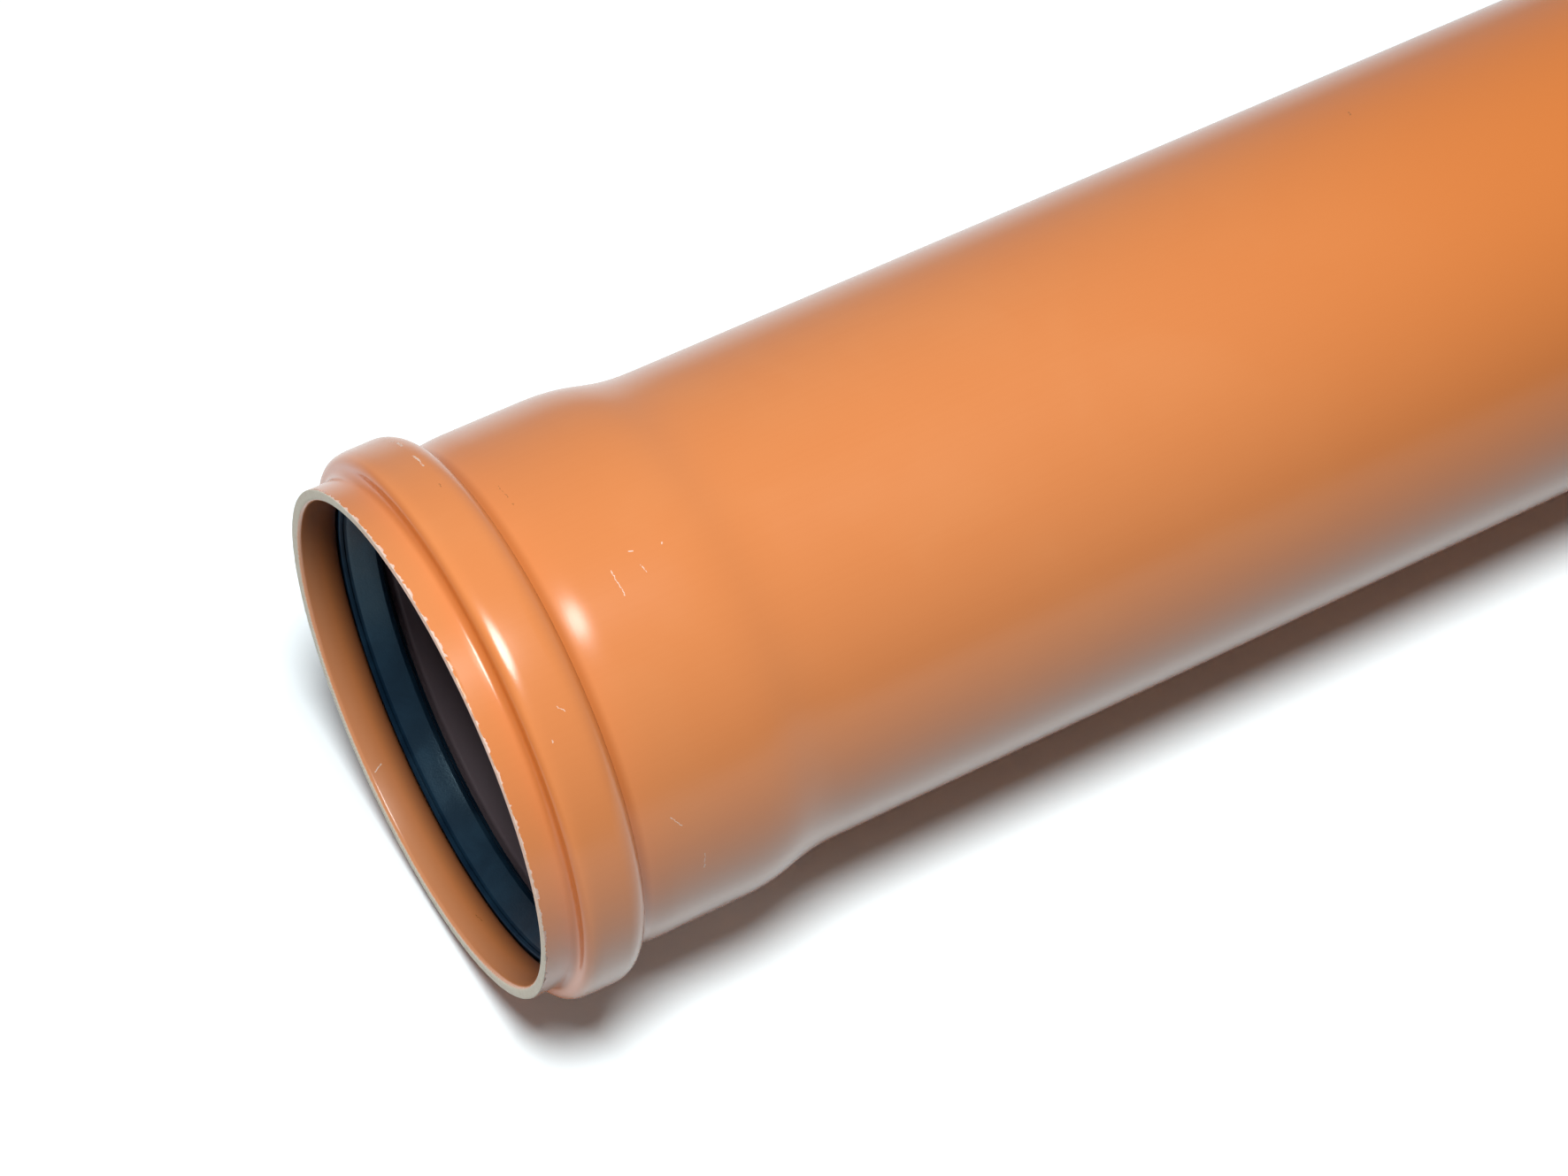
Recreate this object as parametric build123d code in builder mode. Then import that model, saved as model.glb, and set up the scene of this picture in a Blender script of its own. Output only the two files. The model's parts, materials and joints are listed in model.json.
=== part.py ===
import os
from math import acos, atan2, cos, degrees, radians, sin, tan
from build123d import *

# Pipe: 160 mm gravity drain size, with the wall of its middle stiffness class
pipe_od = 160.0
pipe_wall = 4.0
laying_length = 1000.0
spigot_chamfer_length = 7.0
spigot_chamfer_angle = 15.0

# Socket cylinder, formed over a spigot with room to slide
socket_depth = 84.0
socket_clearance = 0.9
socket_wall = 4.0
shoulder_length = 38.0
shoulder_lead = 11.0

# Mouth lip, sawn square with its inner edge eased, as long as the run from the mouth to the foot of the bead
lip_flare = 0.5
lip_length = 10.7
mouth_edge_break = 0.3
mouth_lead_in = 1.6

# Bead, whose inside is the groove of the sealing ring
bead_length = 23.0
bead_height = 7.0
bead_front_angle = 85.0
bead_foot_round = 2.6
bead_front_round = 3.6
bead_rear_round = 8.4
rear_crease_dip = 0.4
rear_crease_length = 8.0
groove_wall = 3.4
groove_rear_angle = 68.0
groove_lip_round = 2.4
groove_corner = 2.0

# Sealing ring: a body in the groove and a cone-shaped lip that a spigot spreads
seal_radial_gap = 0.2
seal_side_gap = 0.4
seal_toe_setback = 2.1
seal_toe_drop = 0.4
seal_toe_height = 1.2
seal_lip_bite = 2.7
seal_lip_reach = 10.6
seal_lip_land = 1.6
seal_lip_back = 1.3
seal_lip_heel = 0.5
seal_notch_depth = 5.7
seal_notch_width = 1.6
seal_body_height = 5.9
seal_rib_height = 0.9
seal_rib_count = 2
seal_edge_break = 0.3

# Radii that follow from the sizes above
pipe_radius = pipe_od / 2
bore_radius = pipe_radius - pipe_wall
socket_bore_radius = pipe_radius + socket_clearance
socket_radius = socket_bore_radius + socket_wall
lip_bore_radius = socket_bore_radius + lip_flare
lip_radius = lip_bore_radius + socket_wall
bead_radius = socket_radius + bead_height
crease_radius = socket_radius - rear_crease_dip
groove_radius = bead_radius - groove_wall
chamfer_drop = spigot_chamfer_length * tan(radians(spigot_chamfer_angle))

# Places along the pipe, counted from the mouth
pipe_length = laying_length + socket_depth
land_end = pipe_length - spigot_chamfer_length
bead_end = lip_length + bead_length
bead_front_top = lip_length + (bead_radius - lip_radius) / tan(radians(bead_front_angle))
bead_rear_sweep = degrees(acos(1 - (bead_radius - crease_radius) / bead_rear_round))
crown_end = bead_end - bead_rear_round * sin(radians(bead_rear_sweep))
groove_front = lip_length + groove_wall / sin(radians(bead_front_angle))
groove_front_top = groove_front + (groove_radius - lip_bore_radius) / tan(radians(bead_front_angle))
groove_rear = bead_end - groove_wall / sin(radians(groove_rear_angle))
groove_rear_top = groove_rear - (groove_radius - socket_bore_radius) / tan(radians(groove_rear_angle))
shoulder_start = socket_depth - shoulder_lead
shoulder_end = shoulder_start + shoulder_length

# The pipe lies on its bead and on the end of its barrel, so it is a little lower at the spigot
rest_tilt = atan2(bead_radius - pipe_radius, land_end - crown_end)
mouth_height = crown_end * sin(rest_tilt) + bead_radius * cos(rest_tilt)
end_radius = pipe_radius - chamfer_drop
mouth_x = -(pipe_length * cos(rest_tilt) + (end_radius - lip_radius) * sin(rest_tilt)) / 2
section = Plane(
    origin=(mouth_x, 0, mouth_height),
    x_dir=(cos(rest_tilt), 0, -sin(rest_tilt)),
    z_dir=(0, -1, 0),
)
pipe_axis = Axis(section.origin, section.x_dir)


def shoulder(wide_radius, narrow_radius):
    """The S-shaped run from the socket's radius to the barrel's, level at both ends."""
    middle = (shoulder_start + shoulder_end) / 2
    Bezier(
        (shoulder_start, wide_radius),
        (middle, wide_radius),
        (middle, narrow_radius),
        (shoulder_end, narrow_radius),
    )


# Pipe: one wall from the sawn mouth to the chamfered spigot
with BuildPart() as pipe:
    with BuildSketch(section) as pipe_section:
        with BuildLine():
            front = FilletPolyline(
                (mouth_edge_break, lip_radius),
                (lip_length, lip_radius),
                (bead_front_top, bead_radius),
                (crown_end, bead_radius),
                radius=[bead_foot_round, bead_front_round],
            )
            rear = JernArc(front @ 1, front % 1, bead_rear_round, -bead_rear_sweep)
            Polyline(
                rear @ 1,
                (bead_end + rear_crease_length, socket_radius),
                (shoulder_start, socket_radius),
            )
            shoulder(socket_radius, pipe_radius)
            Polyline(
                (shoulder_end, pipe_radius),
                (land_end, pipe_radius),
                (pipe_length, end_radius),
                (pipe_length, bore_radius),
                (shoulder_end, bore_radius),
            )
            shoulder(socket_bore_radius, bore_radius)
            FilletPolyline(
                (shoulder_start, socket_bore_radius),
                (groove_rear, socket_bore_radius),
                (groove_rear_top, groove_radius),
                (groove_front_top, groove_radius),
                (groove_front, lip_bore_radius),
                (mouth_lead_in, lip_bore_radius),
                radius=[0, 0, 0, groove_lip_round],
            )
            Polyline(
                (mouth_lead_in, lip_bore_radius),
                (0, lip_bore_radius + mouth_lead_in),
                (0, lip_radius - mouth_edge_break),
                (mouth_edge_break, lip_radius),
            )
        make_face()
        groove_corners = [
            pipe_section.vertices().sort_by_distance(corner)[0]
            for corner in (
                (groove_rear, socket_bore_radius),
                (groove_rear_top, groove_radius),
                (groove_front_top, groove_radius),
            )
        ]
        chamfer(groove_corners, groove_corner)
    revolve(axis=pipe_axis)
pipe.part.label = "pipe"

# Sealing ring: its body fills the groove and its lip reaches in past the pipe's own radius
land_stop = groove_front - groove_lip_round * tan(radians(bead_front_angle / 2))
toe_x = land_stop + seal_toe_setback
toe_radius = lip_bore_radius - seal_toe_drop
lip_start = toe_x + seal_lip_reach
lip_end = lip_start + seal_lip_land
seal_lip_radius = pipe_radius - seal_lip_bite
heel_x = lip_end + seal_lip_heel
heel_radius = seal_lip_radius + seal_lip_back
notch_x = heel_x - seal_notch_depth
rib_radius = groove_radius - seal_radial_gap
body_radius = rib_radius - seal_rib_height
body_bore_radius = rib_radius - seal_body_height


def front_face(radius):
    """Where the ring's front face stands at a radius, clear of the groove's front wall."""
    return groove_front + (radius - lip_bore_radius) / tan(radians(bead_front_angle)) + seal_side_gap


def rear_face(radius):
    """Where the ring's rear face stands at a radius, clear of the groove's rear wall."""
    return groove_rear - (radius - socket_bore_radius) / tan(radians(groove_rear_angle)) - seal_side_gap


# The ring's roof is a row of pointed ribs between two bevelled corners
roof_front = front_face(body_radius) + groove_corner
roof_rear = rear_face(body_radius) - groove_corner
rib_pitch = (roof_rear - roof_front) / seal_rib_count
roof = [(roof_rear, body_radius)]
for rib in range(seal_rib_count):
    roof += [
        (roof_rear - (rib + 1 / 2) * rib_pitch, rib_radius),
        (roof_rear - (rib + 1) * rib_pitch, body_radius),
    ]

with BuildPart() as seal_ring:
    with BuildSketch(section) as seal_section:
        with BuildLine():
            Polyline(
                (toe_x, toe_radius),
                (lip_start, seal_lip_radius),
                (lip_end, seal_lip_radius),
                (heel_x, heel_radius),
                (notch_x, body_bore_radius - seal_notch_width),
                (notch_x, body_bore_radius),
                (rear_face(body_bore_radius), body_bore_radius),
                (rear_face(body_radius - groove_corner), body_radius - groove_corner),
                *roof,
                (front_face(body_radius - groove_corner), body_radius - groove_corner),
                (front_face(toe_radius), toe_radius + seal_toe_height),
                close=True,
            )
        make_face()
        toe = seal_section.vertices().sort_by_distance((toe_x, toe_radius))[0]
        chamfer(toe, seal_edge_break)
    revolve(axis=pipe_axis)
seal_ring.part.label = "seal_ring"

os.makedirs("parts", exist_ok=True)
export_step(pipe.part, "parts/pipe.step")
export_step(seal_ring.part, "parts/seal_ring.step")
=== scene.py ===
import bpy
import json
from math import atan2, cos, pi, radians, sin, sqrt, tan
from mathutils import Matrix, Vector


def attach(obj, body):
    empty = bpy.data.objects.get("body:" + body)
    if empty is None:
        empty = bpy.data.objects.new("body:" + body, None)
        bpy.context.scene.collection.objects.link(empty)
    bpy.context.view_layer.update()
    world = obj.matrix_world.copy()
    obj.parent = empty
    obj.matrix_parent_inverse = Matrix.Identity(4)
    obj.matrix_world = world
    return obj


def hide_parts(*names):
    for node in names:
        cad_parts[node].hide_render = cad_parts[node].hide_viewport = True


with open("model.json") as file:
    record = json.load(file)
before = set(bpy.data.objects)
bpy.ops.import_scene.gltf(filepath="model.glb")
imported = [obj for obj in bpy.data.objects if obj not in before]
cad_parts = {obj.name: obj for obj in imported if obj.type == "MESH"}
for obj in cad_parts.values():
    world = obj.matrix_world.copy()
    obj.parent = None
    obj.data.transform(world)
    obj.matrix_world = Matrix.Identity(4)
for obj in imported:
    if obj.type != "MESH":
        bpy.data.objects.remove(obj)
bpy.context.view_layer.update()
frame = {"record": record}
mm = 0.001


# where the pipe lies, from the CAD's own interfaces

mounts = {m["name"]: m for m in frame["record"]["mounts"]}
leadIn = 1.6 * mm  # the eased inner edge of the mouth, before the mount's own bore
outOfMouth = Vector(mounts["socket_mouth"]["axis"]).normalized()
mouthCentre = Vector(mounts["socket_mouth"]["pos_m"]) + outOfMouth * (
    leadIn + mounts["socket_mouth"]["dims"]["length_mm"] * mm / 2
)
restTilt = atan2(outOfMouth.z, -outOfMouth.x)  # the spigot end lies lower


def layDown(piece):
    # a piece is made with the mouth at the origin and the pipe along +X, then laid as the CAD lies
    bpy.ops.object.select_all(action="DESELECT")
    piece.select_set(True)
    bpy.context.view_layer.objects.active = piece
    piece.rotation_euler = (0, restTilt, 0)
    piece.location = mouthCentre
    bpy.ops.object.transform_apply(location=True, rotation=True, scale=True)


# runs of section points, in mm: (along the pipe, radius)

def roundedRun(points, radii, steps):
    # a run of straight lines, its inner corners rounded
    run = [points[0]]
    for before, corner, after, radius in zip(points, points[1:], points[2:], radii):
        c = Vector(corner)
        a = (Vector(before) - c).normalized()
        b = (Vector(after) - c).normalized()
        half = a.angle(b) / 2
        reach = radius / tan(half)
        centre = c + (a + b).normalized() * radius / sin(half)
        start, end = c + a * reach - centre, c + b * reach - centre
        turn = start.angle_signed(end)
        for k in range(steps + 1):
            spoke = start.copy()
            spoke.rotate(Matrix.Rotation(-turn * k / steps, 2))
            run.append(tuple(centre + spoke))
    return run + [points[-1]]


def softRun(p0, p1, p2, p3, steps):
    # a smooth curve from p0 to p3 that leaves towards p1 and arrives from p2
    a, b, c, d = (Vector(p) for p in (p0, p1, p2, p3))
    run = []
    for k in range(steps + 1):
        t = k / steps
        u = 1 - t
        run.append(tuple(a * u ** 3 + b * 3 * u * u * t + c * 3 * u * t * t + d * t ** 3))
    return run


def evenRun(start, end, steps):
    # points between two ends, without the ends
    return [
        (start[0] + (end[0] - start[0]) * k / steps, start[1] + (end[1] - start[1]) * k / steps)
        for k in range(1, steps)
    ]


samePoint = 0.004  # points of a section nearer than this, in mm, are one


def turnSection(name, section, sides):
    # a ring of edges is extruded from point to point of the closed section and scaled to its radius
    following = section[1:] + section[:1]
    section = [p for p, q in zip(section, following) if (Vector(p) - Vector(q)).length > samePoint]
    along, radius = section[0]
    bpy.ops.object.select_all(action="DESELECT")
    bpy.ops.mesh.primitive_circle_add(
        vertices=sides, radius=radius * mm, location=(along * mm, 0, 0), rotation=(0, pi / 2, 0)
    )
    piece = bpy.context.object
    piece.name = name
    bpy.ops.object.transform_apply(location=True, rotation=True, scale=True)
    bpy.ops.object.mode_set(mode="EDIT")
    bpy.ops.mesh.select_all(action="SELECT")
    for nextAlong, nextRadius in section[1:]:
        bpy.ops.mesh.extrude_region_move(
            TRANSFORM_OT_translate={"value": ((nextAlong - along) * mm, 0, 0)}
        )
        grow = nextRadius / radius
        bpy.ops.transform.resize(value=(1, grow, grow), center_override=(nextAlong * mm, 0, 0))
        along, radius = nextAlong, nextRadius
    bpy.ops.mesh.select_all(action="DESELECT")
    bpy.ops.mesh.select_non_manifold(extend=False)
    bpy.ops.mesh.bridge_edge_loops()
    bpy.ops.mesh.select_all(action="SELECT")
    bpy.ops.mesh.normals_make_consistent(inside=False)
    bpy.ops.object.mode_set(mode="OBJECT")
    return piece


def roughen(piece, group, where, texture, strength, direction="NORMAL"):
    # moves the points that where() picks by a noise texture, weighted by what it returns
    weights = piece.vertex_groups.new(name=group)
    for v in piece.data.vertices:
        w = where(v.co.x / mm, sqrt(v.co.y ** 2 + v.co.z ** 2) / mm, atan2(-v.co.y, v.co.z))
        if w > 0:
            weights.add([v.index], w, "REPLACE")
    bpy.ops.object.select_all(action="DESELECT")
    piece.select_set(True)
    bpy.context.view_layer.objects.active = piece
    move = piece.modifiers.new(group, "DISPLACE")
    move.texture = texture
    move.vertex_group = group
    move.strength = strength
    move.mid_level = 0.5
    move.direction = direction
    bpy.ops.object.modifier_apply(modifier=group)
    piece.vertex_groups.remove(piece.vertex_groups[group])


# pipe wall

pipeWall = {
    "sides": 600,
    "barrelRadius": 80.0,
    "boreRadius": 76.0,
    "socketRadius": 84.9,
    "socketBore": 80.9,
    "lipRadius": 85.4,
    "lipBore": 81.4,
    "beadRadius": 91.9,
    "grooveRadius": 88.5,
    "mouthEase": 1.6,  # the rounding of the mouth's inner edge
    "creaseFoot": 10.7,  # where the lip ends and the bead's front wall begins
    "crownEnd": 25.36,
    "rearRound": 8.4,
    "beadEnd": 33.7,
    "shoulderStart": 73.0,
    "shoulderEnd": 111.0,
    "landEnd": 1077.0,
    "length": 1084.0,
    "endRadius": 78.124,
    "creaseDip": 84.2,  # the lowest radius behind the bead
    "grooveFront": (14.11, 14.73),  # along, at the lip's bore and at the groove's roof
    "grooveRear": (30.03, 26.96),  # along, at the socket's bore and at the groove's roof
    "sawnRoughness": 0.16 * mm,  # depth of the saw's marks on the cut faces
    "nickDepth": 0.30 * mm,  # depth of the torn nicks along the mouth's outer edge
    "grainSize": 0.0016,  # of the saw's marks and of the nicks
}


def pipeSection(p):
    lip, bore = p["lipRadius"], p["lipBore"]
    foot, bead, end = p["creaseFoot"], p["beadRadius"], p["beadEnd"]
    middle = (p["shoulderStart"] + p["shoulderEnd"]) / 2
    cut = 0.3
    ease = p["mouthEase"]
    eased = [radians(15 * k) for k in range(7)]
    face = [(ease * (1 - sin(t)), bore + ease * (1 - cos(t))) for t in eased]
    face += evenRun((0, bore + ease), (0, lip - cut), 6) + [(0, lip - cut)]
    edge = [(0.09, lip - 0.09), (cut, lip)] + [(x, lip) for x in (0.6, 0.95, 1.4, 2.0, 3.2, 5.0)]
    front = roundedRun([(6.6, lip), (foot, lip), (foot + 0.3, bead - 3.4)], [2.6], 9)
    crown = softRun(
        (foot + 0.31, bead - 3.3), (foot + 0.44, bead - 1.2),
        (foot + 1.9, bead - 0.12), (foot + 6.2, bead), 14,
    )
    turnRadius = p["rearRound"]
    turns = [radians(83.1) * k / 12 for k in range(13)]
    rear = [(p["crownEnd"] + turnRadius * sin(t), bead - turnRadius + turnRadius * cos(t)) for t in turns]
    # the wall dips behind the bead and rises softly to the socket
    dip, socketRadius = p["creaseDip"], p["socketRadius"]
    rise, level = (end + 5.2, dip + 0.22), (end + 13.5, socketRadius)
    crease = softRun((end + 0.05, dip + 0.3), (end + 0.6, dip + 0.07), (end + 2.6, dip), rise, 6)
    crease += softRun(rise, (end + 8.2, dip + 0.47), (end + 9.8, socketRadius), level, 6)[1:]
    shoulderStart = (p["shoulderStart"], socketRadius)
    socket = evenRun(level, shoulderStart, 4) + [shoulderStart]
    shoulder = softRun(
        shoulderStart, (middle, socketRadius),
        (middle, p["barrelRadius"]), (p["shoulderEnd"], p["barrelRadius"]), 14,
    )
    barrel = evenRun((p["shoulderEnd"], p["barrelRadius"]), (p["landEnd"], p["barrelRadius"]), 20)
    land, last, tip = p["landEnd"], p["length"], p["endRadius"]
    chamfer = [(land, p["barrelRadius"]), (land + 0.25, p["barrelRadius"] - 0.04)]
    chamfer += [(last - 0.2, tip + 0.05), (last, tip - 0.15)]
    flow, edgeBreak = p["boreRadius"], 0.15
    spigotFace = evenRun((last, tip - edgeBreak), (last, flow + edgeBreak), 3)
    bores = [(last, flow + edgeBreak), (last - edgeBreak, flow)]
    bores += evenRun((last, flow), (p["shoulderEnd"], flow), 8)
    innerShoulder = softRun(
        (p["shoulderEnd"], flow), (middle, flow),
        (middle, p["socketBore"]), (p["shoulderStart"], p["socketBore"]), 12,
    )
    frontFoot, frontRoof = p["grooveFront"]
    rearFoot, rearRoof = p["grooveRear"]
    groove = roundedRun(
        [(p["shoulderStart"] - 1, p["socketBore"]), (rearFoot, p["socketBore"]),
         (rearRoof, p["grooveRadius"]), (frontRoof, p["grooveRadius"]), (frontFoot, bore), (ease, bore)],
        [1.6, 1.6, 1.6, 2.4], 5,
    )
    return (face + edge + front + crown + rear + crease + socket + shoulder + barrel + chamfer
            + spigotFace + bores + innerShoulder + groove)


wall = turnSection("pipeWall", pipeSection(pipeWall), pipeWall["sides"])

sawNoise = bpy.data.textures.new("sawMarks", "CLOUDS")
sawNoise.noise_scale = pipeWall["grainSize"]
sawNoise.noise_depth = 3
nickNoise = bpy.data.textures.new("tornNicks", "VORONOI")
nickNoise.noise_scale = pipeWall["grainSize"]
nickNoise.noise_intensity = 1.3


def sawnFaces(along, radius, turn):
    # all of both cut faces
    return 1.0 if along < 0.02 or along > pipeWall["length"] - 0.02 else 0.0


def mouthRim(along, radius, turn):
    # full at the outer edge, gone 0.7 mm behind it, and most torn on the near side
    side = 0.3 + 0.7 * max(0.0, cos(turn - radians(60)))
    return side * max(0.0, 1.0 - max(0.0, along - 0.3) / 0.4) if along < 0.7 and radius > 84.6 else 0.0


roughen(wall, "sawnFaces", sawnFaces, sawNoise, pipeWall["sawnRoughness"], "X")
roughen(wall, "mouthRim", mouthRim, nickNoise, pipeWall["nickDepth"])
layDown(wall)
bpy.ops.object.shade_smooth_by_angle(angle=radians(28))
print("pipe wall:", len(wall.data.polygons), "faces")


# sealing ring

sealRing = {
    "sides": 400,
    "toe": (14.01, 81.0),
    "toeLength": 2.6,
    "lipStart": (24.61, 77.3),
    "lipLand": 1.6,
    "heel": (26.71, 78.6),
    "notchFoot": 21.01,
    "bodyUnder": 82.4,
    "bodyRoof": 87.4,
    "ribRoof": 88.3,
}


def sealSection(p):
    toeX, toeR = p["toe"]
    lipX, lipR = p["lipStart"]
    heelX, heelR = p["heel"]
    # the toe is a small bead, and a shallow step parts it from the cone
    toe = roundedRun(
        [(toeX + 0.69, toeR + 1.6), (toeX + 0.25, toeR + 0.9), (toeX + 0.35, toeR - 0.1),
         (toeX + 1.5, toeR - 0.5), (toeX + 1.75, toeR - 0.3), (toeX + p["toeLength"], toeR - 0.75)],
        [0.5, 0.45, 0.2, 0.25], 4,
    )
    cone = evenRun((toeX + p["toeLength"], toeR - 0.75), (lipX - 0.6, lipR + 0.12), 6)
    lip = roundedRun(
        [(lipX - 0.6, lipR + 0.2), (lipX, lipR), (lipX + p["lipLand"], lipR), (heelX, heelR),
         (p["notchFoot"], p["bodyUnder"] - 1.6), (p["notchFoot"], p["bodyUnder"]),
         (toeX + 15.09, p["bodyUnder"]), (toeX + 13.39, 86.2)],
        [0.8, 0.5, 0.35, 0.6, 0.6, 0.7], 4,
    )
    roof = roundedRun(
        [(toeX + 13.09, 86.6), (toeX + 11.59, p["bodyRoof"]), (toeX + 9.34, p["ribRoof"]),
         (toeX + 7.09, p["bodyRoof"]), (toeX + 4.89, p["ribRoof"]), (toeX + 2.69, p["bodyRoof"]),
         (toeX + 0.91, 85.4), (toeX + 0.65, 84.4)],
        [0.9, 0.6, 0.5, 0.6, 0.9, 0.5], 4,
    )
    return toe + cone + lip + roof


seal = turnSection("sealRing", sealSection(sealRing), sealRing["sides"])
layDown(seal)
bpy.ops.object.shade_smooth_by_angle(angle=radians(34))
print("seal ring:", len(seal.data.polygons), "faces")


# shader building

def put(tree, kind, values=None, **settings):
    # one node, with its sockets' plain values by name or number
    node = tree.nodes.new(kind)
    for key, value in settings.items():
        setattr(node, key, value)
    for key, value in (values or {}).items():
        node.inputs[key].default_value = value
    return node


def calc(tree, operation, a, b=None, c=None, clamp=False):
    # one Math node: each of a, b, c is a socket or a number
    node = tree.nodes.new("ShaderNodeMath")
    node.operation = operation
    node.use_clamp = clamp
    for socket, value in zip(node.inputs, (a, b, c)):
        if value is None:
            continue
        if isinstance(value, (int, float)):
            socket.default_value = value
        else:
            tree.links.new(value, socket)
    return node.outputs[0]


def between(tree, value, low, high, toLow=0.0, toHigh=1.0):
    # value from low..high to toLow..toHigh, smooth at both ends
    node = put(tree, "ShaderNodeMapRange", interpolation_type="SMOOTHSTEP")
    tree.links.new(value, node.inputs["Value"])
    for key, number in (("From Min", low), ("From Max", high), ("To Min", toLow), ("To Max", toHigh)):
        node.inputs[key].default_value = number
    return node.outputs["Result"]


def blendColour(tree, factor, first, second):
    # a colour mix: factor, first and second are sockets or plain values
    node = put(tree, "ShaderNodeMix", data_type="RGBA")
    for socket, value in zip((node.inputs[0], node.inputs[6], node.inputs[7]), (factor, first, second)):
        if isinstance(value, bpy.types.NodeSocket):
            tree.links.new(value, socket)
        else:
            socket.default_value = value
    return node.outputs[2]


def newGroup(name, inputs, outputs):
    tree = bpy.data.node_groups.new(name, "ShaderNodeTree")
    for socket, kind, value in inputs:
        made = tree.interface.new_socket(socket, in_out="INPUT", socket_type=kind)
        if value is not None:
            made.default_value = value
    for socket, kind in outputs:
        tree.interface.new_socket(socket, in_out="OUTPUT", socket_type=kind)
    return tree, tree.nodes.new("NodeGroupInput"), tree.nodes.new("NodeGroupOutput")


def useGroup(tree, group, values=None):
    node = tree.nodes.new("ShaderNodeGroup")
    node.node_tree = group
    for key, value in (values or {}).items():
        node.inputs[key].default_value = value
    return node


def noiseOf(tree, vector, scale, detail, roughness, distortion=0.0):
    # scale is a number or a socket
    settings = {"Detail": detail, "Roughness": roughness, "Distortion": distortion}
    node = put(tree, "ShaderNodeTexNoise", settings)
    tree.links.new(vector, node.inputs["Vector"])
    if isinstance(scale, bpy.types.NodeSocket):
        tree.links.new(scale, node.inputs["Scale"])
    else:
        node.inputs["Scale"].default_value = scale
    return node.outputs["Fac"]


def hypotenuse(tree, a, b):
    squares = calc(tree, "ADD", calc(tree, "MULTIPLY", a, a), calc(tree, "MULTIPLY", b, b))
    return calc(tree, "SQRT", squares)


floatSocket = "NodeSocketFloat"


# effect: where a point is on the pipe, in mm
# Along counts from the mouth, Around is the arc at the barrel's radius, from the top towards the front

def makePlaceGroup():
    tree, start, end = newGroup("placeOnPipe", [], [
        ("Along", floatSocket), ("Around", floatSocket), ("Radius", floatSocket), ("Turn", floatSocket)])
    coords = put(tree, "ShaderNodeTexCoord")
    # first the mouth goes to the origin, then the tilt is taken out and metres become mm
    toMouth = put(tree, "ShaderNodeMapping", {"Location": tuple(-mouthCentre)})
    level = put(tree, "ShaderNodeMapping", {"Rotation": (0, -restTilt, 0)})
    tree.links.new(coords.outputs["Object"], toMouth.inputs["Vector"])
    tree.links.new(toMouth.outputs[0], level.inputs["Vector"])
    parts = put(tree, "ShaderNodeSeparateXYZ")
    tree.links.new(level.outputs[0], parts.inputs[0])
    x, y, z = (calc(tree, "MULTIPLY", s, 1000.0) for s in parts.outputs)
    turn = calc(tree, "ARCTAN2", calc(tree, "MULTIPLY", y, -1.0), z)
    tree.links.new(x, end.inputs["Along"])
    tree.links.new(calc(tree, "MULTIPLY", turn, pipeWall["barrelRadius"]), end.inputs["Around"])
    tree.links.new(hypotenuse(tree, y, z), end.inputs["Radius"])
    tree.links.new(turn, end.inputs["Turn"])
    return tree


placeOnPipe = makePlaceGroup()


# effect: fine grain and long streaks of a drawn or moulded surface

def makeSkinGroup():
    tree, start, end = newGroup("drawnSkin", [
        ("Streak Scale", floatSocket, 0.9), ("Grain Scale", floatSocket, 900.0),
        ("Cloud Scale", floatSocket, 14.0),
    ], [("Streaks", floatSocket), ("Grain", floatSocket), ("Clouds", floatSocket)])
    place = useGroup(tree, placeOnPipe)
    coords = put(tree, "ShaderNodeTexCoord")
    # streaks run along the pipe: the noise is squeezed along and follows the turn
    join = put(tree, "ShaderNodeCombineXYZ")
    turn, barrel = place.outputs["Turn"], pipeWall["barrelRadius"]
    tree.links.new(calc(tree, "MULTIPLY", place.outputs["Along"], 0.004), join.inputs[0])
    tree.links.new(calc(tree, "MULTIPLY", calc(tree, "SINE", turn), barrel), join.inputs[1])
    tree.links.new(calc(tree, "MULTIPLY", calc(tree, "COSINE", turn), barrel), join.inputs[2])
    inSpace = coords.outputs["Object"]
    streaks = noiseOf(tree, join.outputs[0], start.outputs["Streak Scale"], 4.0, 0.65)
    grain = noiseOf(tree, inSpace, start.outputs["Grain Scale"], 3.0, 0.6)
    clouds = noiseOf(tree, inSpace, start.outputs["Cloud Scale"], 3.0, 0.55, 0.4)
    tree.links.new(streaks, end.inputs["Streaks"])
    tree.links.new(grain, end.inputs["Grain"])
    tree.links.new(clouds, end.inputs["Clouds"])
    return tree


drawnSkin = makeSkinGroup()


# effect: the sawn ends, pale and rough on the flat face, with chips torn out along the outer edge

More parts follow.
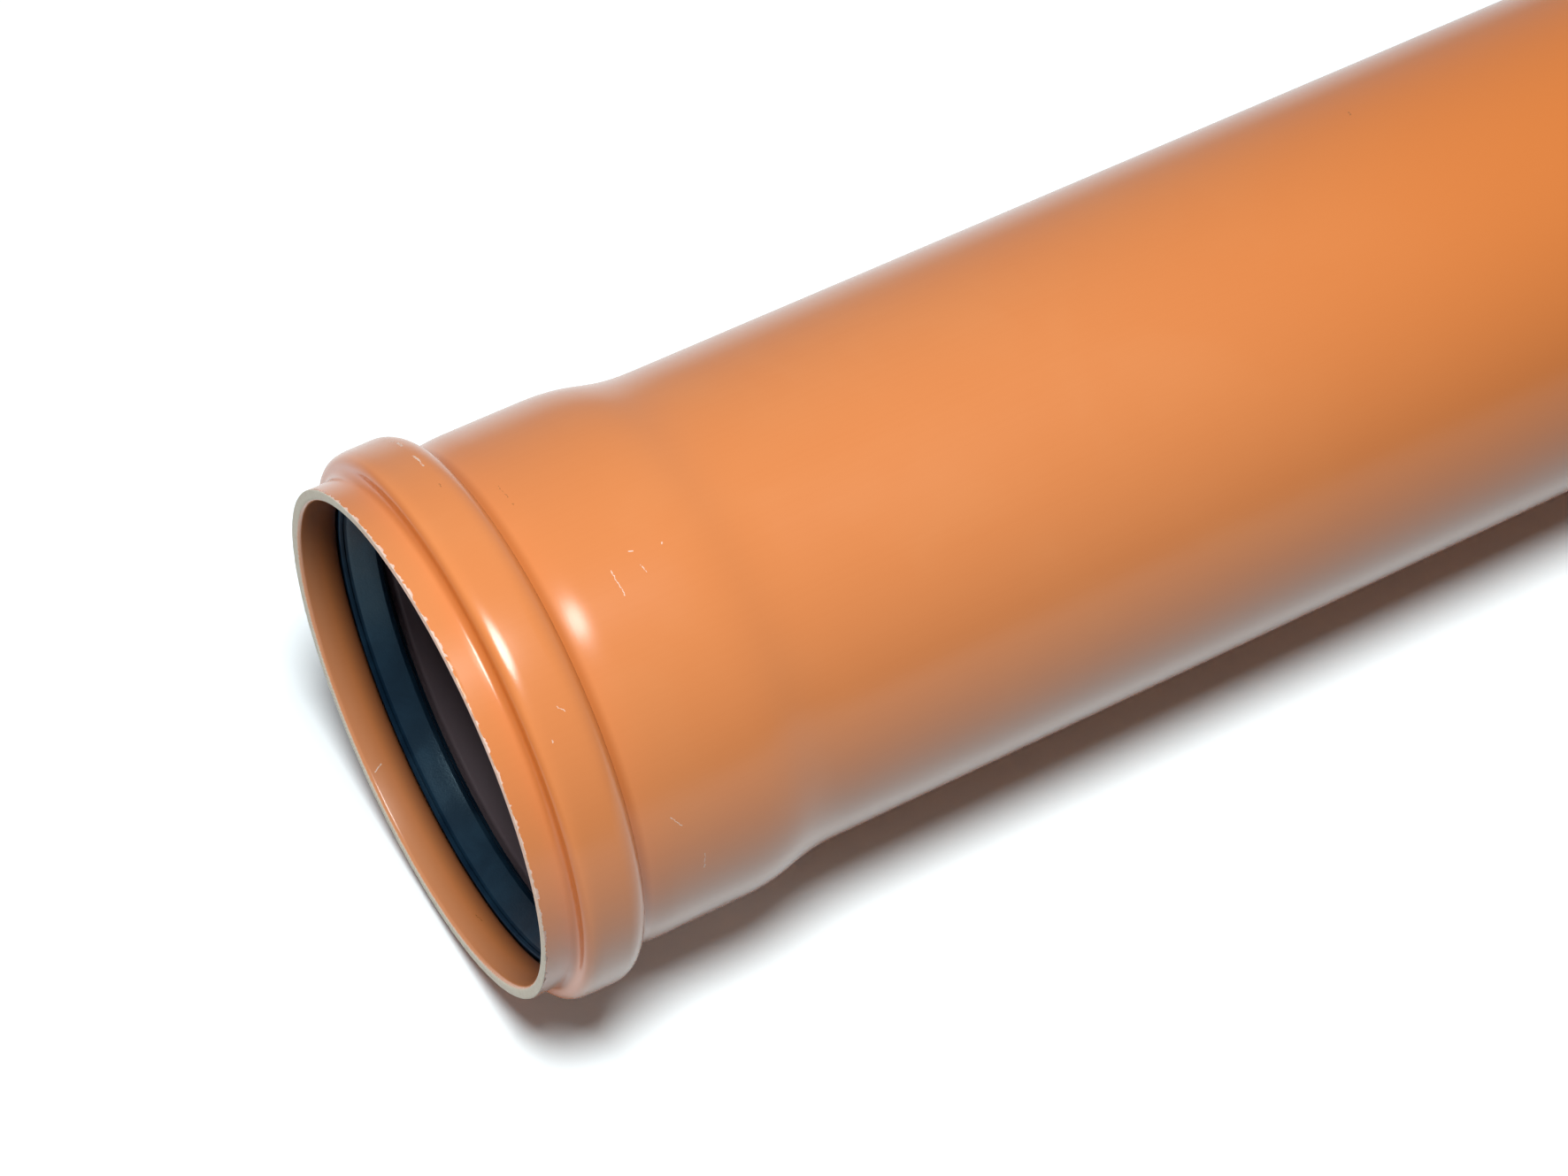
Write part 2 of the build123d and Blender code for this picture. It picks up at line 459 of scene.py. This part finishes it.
def makeCutGroup():
    tree, start, end = newGroup("sawnEnds", [
        ("Face From", floatSocket, 82.0), ("Chip Reach", floatSocket, 0.95),
        ("Tooth Pitch", floatSocket, 1.25),
    ], [("Mask", floatSocket), ("Chips", floatSocket), ("Marks", floatSocket)])
    place = useGroup(tree, placeOnPipe)
    along, radius = place.outputs["Along"], place.outputs["Radius"]
    coords = put(tree, "ShaderNodeTexCoord")
    wobble = noiseOf(tree, coords.outputs["Object"], 900.0, 3.0, 0.6)
    bites = noiseOf(tree, coords.outputs["Object"], 330.0, 2.0, 0.55)
    ends = calc(tree, "MINIMUM", along, calc(tree, "SUBTRACT", pipeWall["length"], along))
    # the flat: close to the end, and outside the eased inner edge of the mouth
    uneven = calc(tree, "MULTIPLY_ADD", wobble, 0.5, -0.25)
    onRounding = between(tree, radius, 84.4, 83.4, 0.0, 0.5)
    deep = calc(tree, "SUBTRACT", calc(tree, "ADD", ends, uneven), onRounding)
    flat = between(tree, deep, 0.26, 0.14)
    inner = calc(tree, "SUBTRACT", calc(tree, "ADD", radius, uneven), start.outputs["Face From"])
    atMouth = between(tree, along, 300.0, 100.0)
    atSpigot = calc(tree, "SUBTRACT", 1.0, atMouth)
    flat = calc(tree, "MULTIPLY", flat, calc(tree, "MAXIMUM", between(tree, inner, -0.25, 0.35), atSpigot))
    # on the mouth's upper front side the cut is cleaner and keeps more of the plastic's own colour
    facing = calc(tree, "COSINE", calc(tree, "SUBTRACT", place.outputs["Turn"], radians(33)))
    clean = calc(tree, "MULTIPLY", between(tree, facing, 0.45, 0.90, 0.0, 0.75), atMouth)
    flat = calc(tree, "MULTIPLY", flat, calc(tree, "SUBTRACT", 1.0, clean))
    # chips reach back from the outer edge by an uneven amount
    reach = calc(tree, "MULTIPLY", between(tree, bites, 0.40, 0.66), start.outputs["Chip Reach"])
    reach = calc(tree, "MULTIPLY_ADD", uneven, 0.8, reach)
    outside = calc(tree, "GREATER_THAN", radius, pipeWall["lipRadius"] - 0.45)
    torn = between(tree, calc(tree, "SUBTRACT", reach, ends), -0.06, 0.10)
    chips = calc(tree, "MULTIPLY", torn, outside)
    tree.links.new(flat, end.inputs["Mask"])
    tree.links.new(calc(tree, "MULTIPLY", chips, atMouth), end.inputs["Chips"])
    # the saw's teeth leave short ticks across the face, one beside the other round the mouth
    tick = calc(tree, "DIVIDE", place.outputs["Around"], start.outputs["Tooth Pitch"])
    tick = calc(tree, "FRACT", calc(tree, "MULTIPLY_ADD", wobble, 1.1, tick))
    tick = between(tree, calc(tree, "ABSOLUTE", calc(tree, "SUBTRACT", tick, 0.5)), 0.12, 0.34)
    tick = calc(tree, "MULTIPLY", tick, between(tree, bites, 0.35, 0.65, 0.35, 1.0))
    tree.links.new(tick, end.inputs["Marks"])
    return tree


sawnEnds = makeCutGroup()


# effect: handling marks at their places on the pipe
# each mark: (along, around) of its two ends and its width, in mm

lightMarks = [
    ((25.9, -50.8), (26.0, -46.2), 0.50), ((25.3, -54.6), (25.9, -53.0), 0.36),
    ((25.4, -37.2), (25.8, -34.3), 0.46), ((25.8, -34.3), (25.3, -30.3), 0.34),
    ((33.8, -47.9), (34.7, -44.7), 0.50), ((56.8, 24.1), (57.2, 32.2), 0.17),
    ((65.7, 26.0), (66.3, 28.7), 0.15), ((74.7, 22.5), (74.8, 23.0), 0.24),
    ((64.6, 21.0), (65.6, 21.4), 0.22), ((17.1, 59.5), (17.2, 60.0), 0.26),
    ((55.3, 116.1), (54.7, 122.3), 0.18), ((46.3, 97.3), (49.3, 101.8), 0.18),
    ((2.5, -207.1), (5.7, -205.5), 0.24), ((22.3, 52.0), (24.1, 54.1), 0.14),
]
darkMarks = [
    ((42.1, -17.2), (42.3, -11.5), 0.24), ((42.1, -8.7), (42.2, -8.0), 0.26),
    ((25.0, -20.1), (25.1, -18.7), 0.20), ((354.2, -26.5), (353.7, -24.8), 0.45),
    ((8.5, 235.4), (9.1, 231.8), 0.24),
]


def markMask(tree, along, around, marks):
    # the nearest mark's strength, from the distance to each short line
    best = None
    for (a0, b0), (a1, b1), width in marks:
        da, db = a1 - a0, b1 - b0
        size = da * da + db * db
        pa, pb = calc(tree, "SUBTRACT", along, a0), calc(tree, "SUBTRACT", around, b0)
        shareA, shareB = calc(tree, "MULTIPLY", pa, da / size), calc(tree, "MULTIPLY", pb, db / size)
        share = calc(tree, "ADD", shareA, shareB, clamp=True)
        qa = calc(tree, "MULTIPLY_ADD", share, -da, pa)
        qb = calc(tree, "MULTIPLY_ADD", share, -db, pb)
        mask = between(tree, hypotenuse(tree, qa, qb), width * 1.15, width * 0.3)
        best = mask if best is None else calc(tree, "MAXIMUM", best, mask)
    return best


def simpleMaterial(name, colour, roughness):
    material = bpy.data.materials.new(name)
    material.use_nodes = True
    tree = material.node_tree
    shader = tree.nodes["Principled BSDF"]
    shader.inputs["Base Color"].default_value = colour
    shader.inputs["Roughness"].default_value = roughness
    return material, tree, shader


def tinted(tree, body, mask, amount, colour):
    # body with that share of another colour where the mask is
    return blendColour(tree, calc(tree, "MULTIPLY", mask, amount), body, colour)


def addBump(tree, shader, height, strength, distance):
    bump = put(tree, "ShaderNodeBump", {"Strength": strength, "Distance": distance})
    tree.links.new(height, bump.inputs["Height"])
    tree.links.new(bump.outputs["Normal"], shader.inputs["Normal"])


# orange-brown pipe plastic

plasticLook = {
    "colour": (0.815, 0.275, 0.080, 1),
    "deep": (0.755, 0.228, 0.055, 1),
    "pale": (0.835, 0.318, 0.110, 1),
    "far": (0.80, 0.235, 0.042, 1),  # painted shade: a deeper tone far down the barrel, standing in for the key light's falloff and fading sheen along the pipe
    "farRange": (170.0, 430.0),
    "paintedLightInside": (0.84, 0.42, 0.24, 1),  # painted light: paler inside the mouth, where the key light reaches the inner wall
    "shadeInside": (0.20, 0.070, 0.030, 1),  # the mouth's inner wall is darker towards the seal
    "shadeRange": (7.0, 14.0),
    "boreShade": (0.235, 0.20, 0.235, 1),  # painted shade: the bore past the seal is darkened to a dull grey-brown
    "boreShadeRange": (16.0, 22.0),
    "crease": (0.56, 0.150, 0.022, 1),  # painted shade: a deeper tone in the creases before and behind the bead
    "frontCreaseShade": (pipeWall["creaseFoot"], 2.8, 0.75),  # its middle, how far its tone reaches and how deep
    "rearCreaseShade": (pipeWall["beadEnd"] + 0.6, 3.4, 0.72),
    "sawn": (0.86, 0.81, 0.68, 1),
    "sawnTick": (0.66, 0.52, 0.40, 1),
    "chip": (0.97, 0.76, 0.66, 1),
    "rub": (0.97, 0.82, 0.70, 1),
    "scar": (0.42, 0.14, 0.035, 1),
    "roughness": (0.20, 0.25),
    "sawnRoughness": 0.75,
    "ior": 1.5,
}


def innerSide(tree, along, radius):
    # 1 within the middle of the wall, which widens at the groove and narrows at the shoulder
    p = pipeWall
    socketMiddle = (p["socketBore"] + p["socketRadius"]) / 2
    barrelMiddle = (p["boreRadius"] + p["barrelRadius"]) / 2
    midWall = between(tree, along, p["shoulderStart"], p["shoulderEnd"], socketMiddle, barrelMiddle)
    start, end = p["grooveFront"][0] - 0.7, p["grooveRear"][0] + 1.0
    atGroove = calc(tree, "COMPARE", along, (start + end) / 2, (end - start) / 2)
    midWall = calc(tree, "MULTIPLY_ADD", atGroove, p["grooveRadius"] + 0.5 - socketMiddle, midWall)
    return calc(tree, "LESS_THAN", radius, midWall)


def drawnBody(tree, look, skin):
    # the plastic's own colour, a little uneven in streaks and clouds
    streaks = between(tree, skin.outputs["Streaks"], 0.35, 0.75)
    clouds = between(tree, skin.outputs["Clouds"], 0.42, 0.75)
    body = tinted(tree, look["colour"], streaks, 0.10, look["deep"])
    return tinted(tree, body, clouds, 0.35, look["pale"])


def usedBody(tree, look, body, along, inside):
    # the tones that differ from place to place, mostly painted light and shade: shade far down the barrel,
    # towards the seal and in the creases, light on the mouth's inner wall
    # painted shade: the barrel deepens in tone far from the mouth, where the key light falls off
    body = blendColour(tree, between(tree, along, *look["farRange"], 0.0, 0.9), body, look["far"])
    # painted light: the mouth's inner wall is paler near the mouth, fading deeper in
    litInside = calc(tree, "MULTIPLY", inside, between(tree, along, 3.0, 9.0, 0.40, 0.12))
    body = blendColour(tree, litInside, body, look["paintedLightInside"])
    shade = between(tree, along, *look["shadeRange"], 0.0, 0.75)
    body = tinted(tree, body, inside, shade, look["shadeInside"])
    outside = calc(tree, "SUBTRACT", 1.0, inside)
    # painted shade in the creases before and behind the bead
    for middle, reach, depth in (look["frontCreaseShade"], look["rearCreaseShade"]):
        off = calc(tree, "ABSOLUTE", calc(tree, "SUBTRACT", along, middle))
        body = tinted(tree, body, between(tree, off, reach, 0.2, 0.0, depth), outside, look["crease"])
    return body


def makePlastic(look):
    material, tree, shader = simpleMaterial("pipePlastic", look["colour"], 0.25)
    place = useGroup(tree, placeOnPipe)
    along, around = place.outputs["Along"], place.outputs["Around"]
    skin = useGroup(tree, drawnSkin, {"Streak Scale": 0.9, "Grain Scale": 950.0, "Cloud Scale": 16.0})
    cut = useGroup(tree, sawnEnds, {"Face From": 82.0, "Chip Reach": 0.95, "Tooth Pitch": 1.25})
    inside = innerSide(tree, along, place.outputs["Radius"])
    body = usedBody(tree, look, drawnBody(tree, look, skin), along, inside)
    # painted shade: the bore past the seal, deep in the pipe, is darkened
    shadedBore = calc(tree, "MULTIPLY", inside, between(tree, along, *look["boreShadeRange"]))
    body = tinted(tree, body, shadedBore, 0.88, look["boreShade"])
    # the marks waver and break up
    inSpace = put(tree, "ShaderNodeTexCoord").outputs["Object"]
    waver = noiseOf(tree, inSpace, 620.0, 3.0, 0.6)
    breaks = between(tree, noiseOf(tree, inSpace, 1250.0, 2.0, 0.5), 0.34, 0.50)
    alongMark = calc(tree, "MULTIPLY_ADD", calc(tree, "SUBTRACT", waver, 0.5), 1.5, along)
    rubs = calc(tree, "MULTIPLY", markMask(tree, alongMark, around, lightMarks), breaks)
    scars = calc(tree, "MULTIPLY", markMask(tree, alongMark, around, darkMarks), breaks)
    body = tinted(tree, body, rubs, 0.8, look["rub"])
    body = tinted(tree, body, scars, 0.7, look["scar"])
    body = tinted(tree, body, cut.outputs["Chips"], 0.75, look["chip"])
    sawn = tinted(tree, look["sawn"], cut.outputs["Marks"], 0.4, look["sawnTick"])
    tree.links.new(blendColour(tree, cut.outputs["Mask"], body, sawn), shader.inputs["Base Color"])
    # glossy where whole, dull where sawn, where the rubs are and in the bore past the seal
    torn = calc(tree, "MAXIMUM", cut.outputs["Mask"], cut.outputs["Chips"])
    dull = calc(tree, "MAXIMUM", torn, calc(tree, "MULTIPLY", rubs, 0.6))
    dull = calc(tree, "MAXIMUM", dull, calc(tree, "MULTIPLY", shadedBore, 0.7))
    rough = put(tree, "ShaderNodeMix", {3: look["sawnRoughness"]}, data_type="FLOAT")
    tree.links.new(dull, rough.inputs[0])
    tree.links.new(between(tree, skin.outputs["Clouds"], 0.3, 0.8, *look["roughness"]), rough.inputs[2])
    tree.links.new(rough.outputs[0], shader.inputs["Roughness"])
    shader.inputs["IOR"].default_value = look["ior"]
    # height: faint lengthwise streaks, fine grain, the saw's ticks and the chips
    ticks = calc(tree, "MULTIPLY", cut.outputs["Marks"], torn)
    height = calc(tree, "MULTIPLY", skin.outputs["Streaks"], 0.04)
    for relief, depth in ((skin.outputs["Grain"], 0.08), (ticks, -0.35), (cut.outputs["Chips"], -0.5)):
        height = calc(tree, "MULTIPLY_ADD", relief, depth, height)
    addBump(tree, shader, height, 0.35, 0.0003)
    return material


pipePlastic = makePlastic(plasticLook)


# black rubber of the seal

rubberLook = {
    "colour": (0.005, 0.019, 0.040, 1),
    "bloom": (0.018, 0.055, 0.095, 1),  # pale bloom and talc on the rubber
    "sheen": (0.55, 0.85, 1.0, 1),
    "roughness": (0.28, 0.40),
    "coneSpecular": 0.36,
    "shadedToeSpecular": 0.06,  # painted shade: the toe lies back in the gap, and its copy of the rubber has little gloss so that it stays dark
}


def makeRubber(name, look, specular):
    material, tree, shader = simpleMaterial(name, look["colour"], 0.45)
    skin = useGroup(tree, drawnSkin, {"Streak Scale": 0.5, "Grain Scale": 1500.0, "Cloud Scale": 60.0})
    clouds = skin.outputs["Clouds"]
    colour = tinted(tree, look["colour"], between(tree, clouds, 0.38, 0.72), 0.5, look["bloom"])
    tree.links.new(colour, shader.inputs["Base Color"])
    tree.links.new(between(tree, clouds, 0.3, 0.75, *look["roughness"]), shader.inputs["Roughness"])
    shader.inputs["Specular IOR Level"].default_value = specular
    shader.inputs["Specular Tint"].default_value = look["sheen"]
    addBump(tree, shader, skin.outputs["Grain"], 0.3, 0.0002)
    return material


sealRubber = makeRubber("sealRubber", rubberLook, rubberLook["coneSpecular"])
# a shaded copy of the rubber for the toe: painted shade
shadedToeRubber = makeRubber("shadedToeRubber", rubberLook, rubberLook["shadedToeSpecular"])
wall.data.materials.append(pipePlastic)
seal.data.materials.append(sealRubber)
seal.data.materials.append(shadedToeRubber)
# the ring's faces in front of the cone take the toe's low-gloss copy of the rubber, its painted shade
toeEnd = (sealRing["toe"][0] + sealRing["toeLength"]) * mm
for face in seal.data.polygons:
    if (mouthCentre - face.center).dot(outOfMouth) < toeEnd:
        face.material_index = 1
print("materials done")

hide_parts("pipe")
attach(wall, "root")
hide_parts("seal_ring")
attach(seal, "root")


# floor, light and camera

studio = {
    "floorSize": 60.0,
    "floorSeen": (1.40, 1.53, 1.57, 1),  # near the pipe the floor shows a clean white
    "floorBounce": (0.11, 0.12, 0.13, 1),
    "pipeHalf": 0.54,  # half the pipe's length, where the floor's fade starts to count
    "fade": (0.75, 1.9),  # distance from the pipe over which the white fades into the backdrop
    "backdrop": (0.50, 0.53, 0.57, 1),
    "fill": (0.72, 0.86, 1.0, 1),
    "fillLevel": 0.05,
    "keyWatts": 29.2,
    "keySize": (0.70, 0.66),  # along the pipe, across it
    "keyDistance": 1.7,
    "keyToward": (-0.053, -0.24, 0.967),
    "keyAim": (-0.54, 0.0, 0.10),
    "frontWatts": 13.0,
    "frontSize": (0.3, 0.5),
    "frontPlace": (-2.54, 0.0, 0.17),
    "frontToward": (-0.999, 0.0, 0.04),
}

bpy.ops.object.select_all(action="DESELECT")
bpy.ops.mesh.primitive_plane_add(size=studio["floorSize"], location=(0, 0, 0))
floor = bpy.context.object
floor.name = "studioFloor"


def seenDirectly(tree):
    # 1 for what the camera, a mirror or a glass would show, 0 for light that only brightens
    lightPath = put(tree, "ShaderNodeLightPath")
    seen = calc(tree, "ADD", lightPath.outputs["Is Camera Ray"], lightPath.outputs["Is Glossy Ray"])
    return calc(tree, "ADD", seen, lightPath.outputs["Is Transmission Ray"], clamp=True)


# white near the pipe, fading into the plain backdrop further off
floorPaint, tree, shader = simpleMaterial("studioFloor", studio["floorBounce"], 0.9)
seen = seenDirectly(tree)
coords = put(tree, "ShaderNodeTexCoord")
parts = put(tree, "ShaderNodeSeparateXYZ")
tree.links.new(coords.outputs["Object"], parts.inputs[0])
past = calc(tree, "SUBTRACT", calc(tree, "ABSOLUTE", parts.outputs[0]), studio["pipeHalf"])
off = hypotenuse(tree, calc(tree, "MAXIMUM", past, 0.0), parts.outputs[1])
fade = between(tree, off, *studio["fade"])
shown = blendColour(tree, seen, studio["floorBounce"], studio["floorSeen"])
tree.links.new(blendColour(tree, fade, shown, (0, 0, 0, 1)), shader.inputs["Base Color"])
shader.inputs["Specular IOR Level"].default_value = 0.0
tree.links.new(blendColour(tree, calc(tree, "MULTIPLY", fade, seen), (0, 0, 0, 1), studio["backdrop"]),
               shader.inputs["Emission Color"])
shader.inputs["Emission Strength"].default_value = 1.0
floor.data.materials.append(floorPaint)

world = bpy.data.worlds.new("studioWorld")
bpy.context.scene.world = world
world.use_nodes = True
tree = world.node_tree
seen = seenDirectly(tree)
level = put(tree, "ShaderNodeMix", {2: studio["fillLevel"], 3: 1.0}, data_type="FLOAT")
tree.links.new(seen, level.inputs[0])
background = tree.nodes["Background"]
tree.links.new(blendColour(tree, seen, studio["fill"], studio["backdrop"]), background.inputs["Color"])
tree.links.new(level.outputs[0], background.inputs["Strength"])


def softLight(name, place, toward, size, watts):
    # an oval area light that shines along -toward, its first size as near along the pipe as it can lie
    across = toward.cross(outOfMouth).normalized()
    bpy.ops.object.select_all(action="DESELECT")
    bpy.ops.object.light_add(type="AREA", location=place)
    light = bpy.context.object
    light.name = name
    light.data.shape = "ELLIPSE"
    light.data.size, light.data.size_y = size
    light.data.energy = watts
    light.rotation_euler = Matrix((across.cross(toward), across, toward)).transposed().to_euler()
    return light


toward = Vector(studio["keyToward"]).normalized()
softLight("keyLight", Vector(studio["keyAim"]) + toward * studio["keyDistance"], toward,
          studio["keySize"], studio["keyWatts"])
towardFront = Vector(studio["frontToward"]).normalized()
frontLight = softLight("frontLight", Vector(studio["frontPlace"]), towardFront,
                       studio["frontSize"], studio["frontWatts"])
frontLight.visible_glossy = False  # a fill without a highlight of its own

cameraPlace = {
    "focal": 5000.0,  # in pixels of the 1772 wide photograph
    "photoWidth": 1772.0,
    "lookDown": 53.04,  # degrees
    "turn": 60.26,  # degrees, of the view in plan, from the pipe's own direction
    # the mouth's centre: right, up and ahead of the camera
    "mouthInView": (-0.113574, -0.048685, 1.362336),
}


def placeCamera(p):
    down, turn = radians(p["lookDown"]), radians(p["turn"])
    ahead = Vector((cos(down) * cos(turn), cos(down) * sin(turn), -sin(down)))
    right = Vector((sin(turn), -cos(turn), 0))
    up = right.cross(ahead)
    x, y, z = p["mouthInView"]
    bpy.ops.object.camera_add(
        location=mouthCentre - right * x - up * y - ahead * z,
        rotation=Matrix((right, up, -ahead)).transposed().to_euler(),
    )
    camera = bpy.context.object
    camera.name = "photoCamera"
    camera.data.sensor_width = 36.0
    camera.data.lens = camera.data.sensor_width * p["focal"] / p["photoWidth"]
    camera.data.clip_start, camera.data.clip_end = 0.05, 100.0
    bpy.context.scene.camera = camera


placeCamera(cameraPlace)
bpy.context.scene.view_settings.view_transform = "Standard"

print("scene ready")
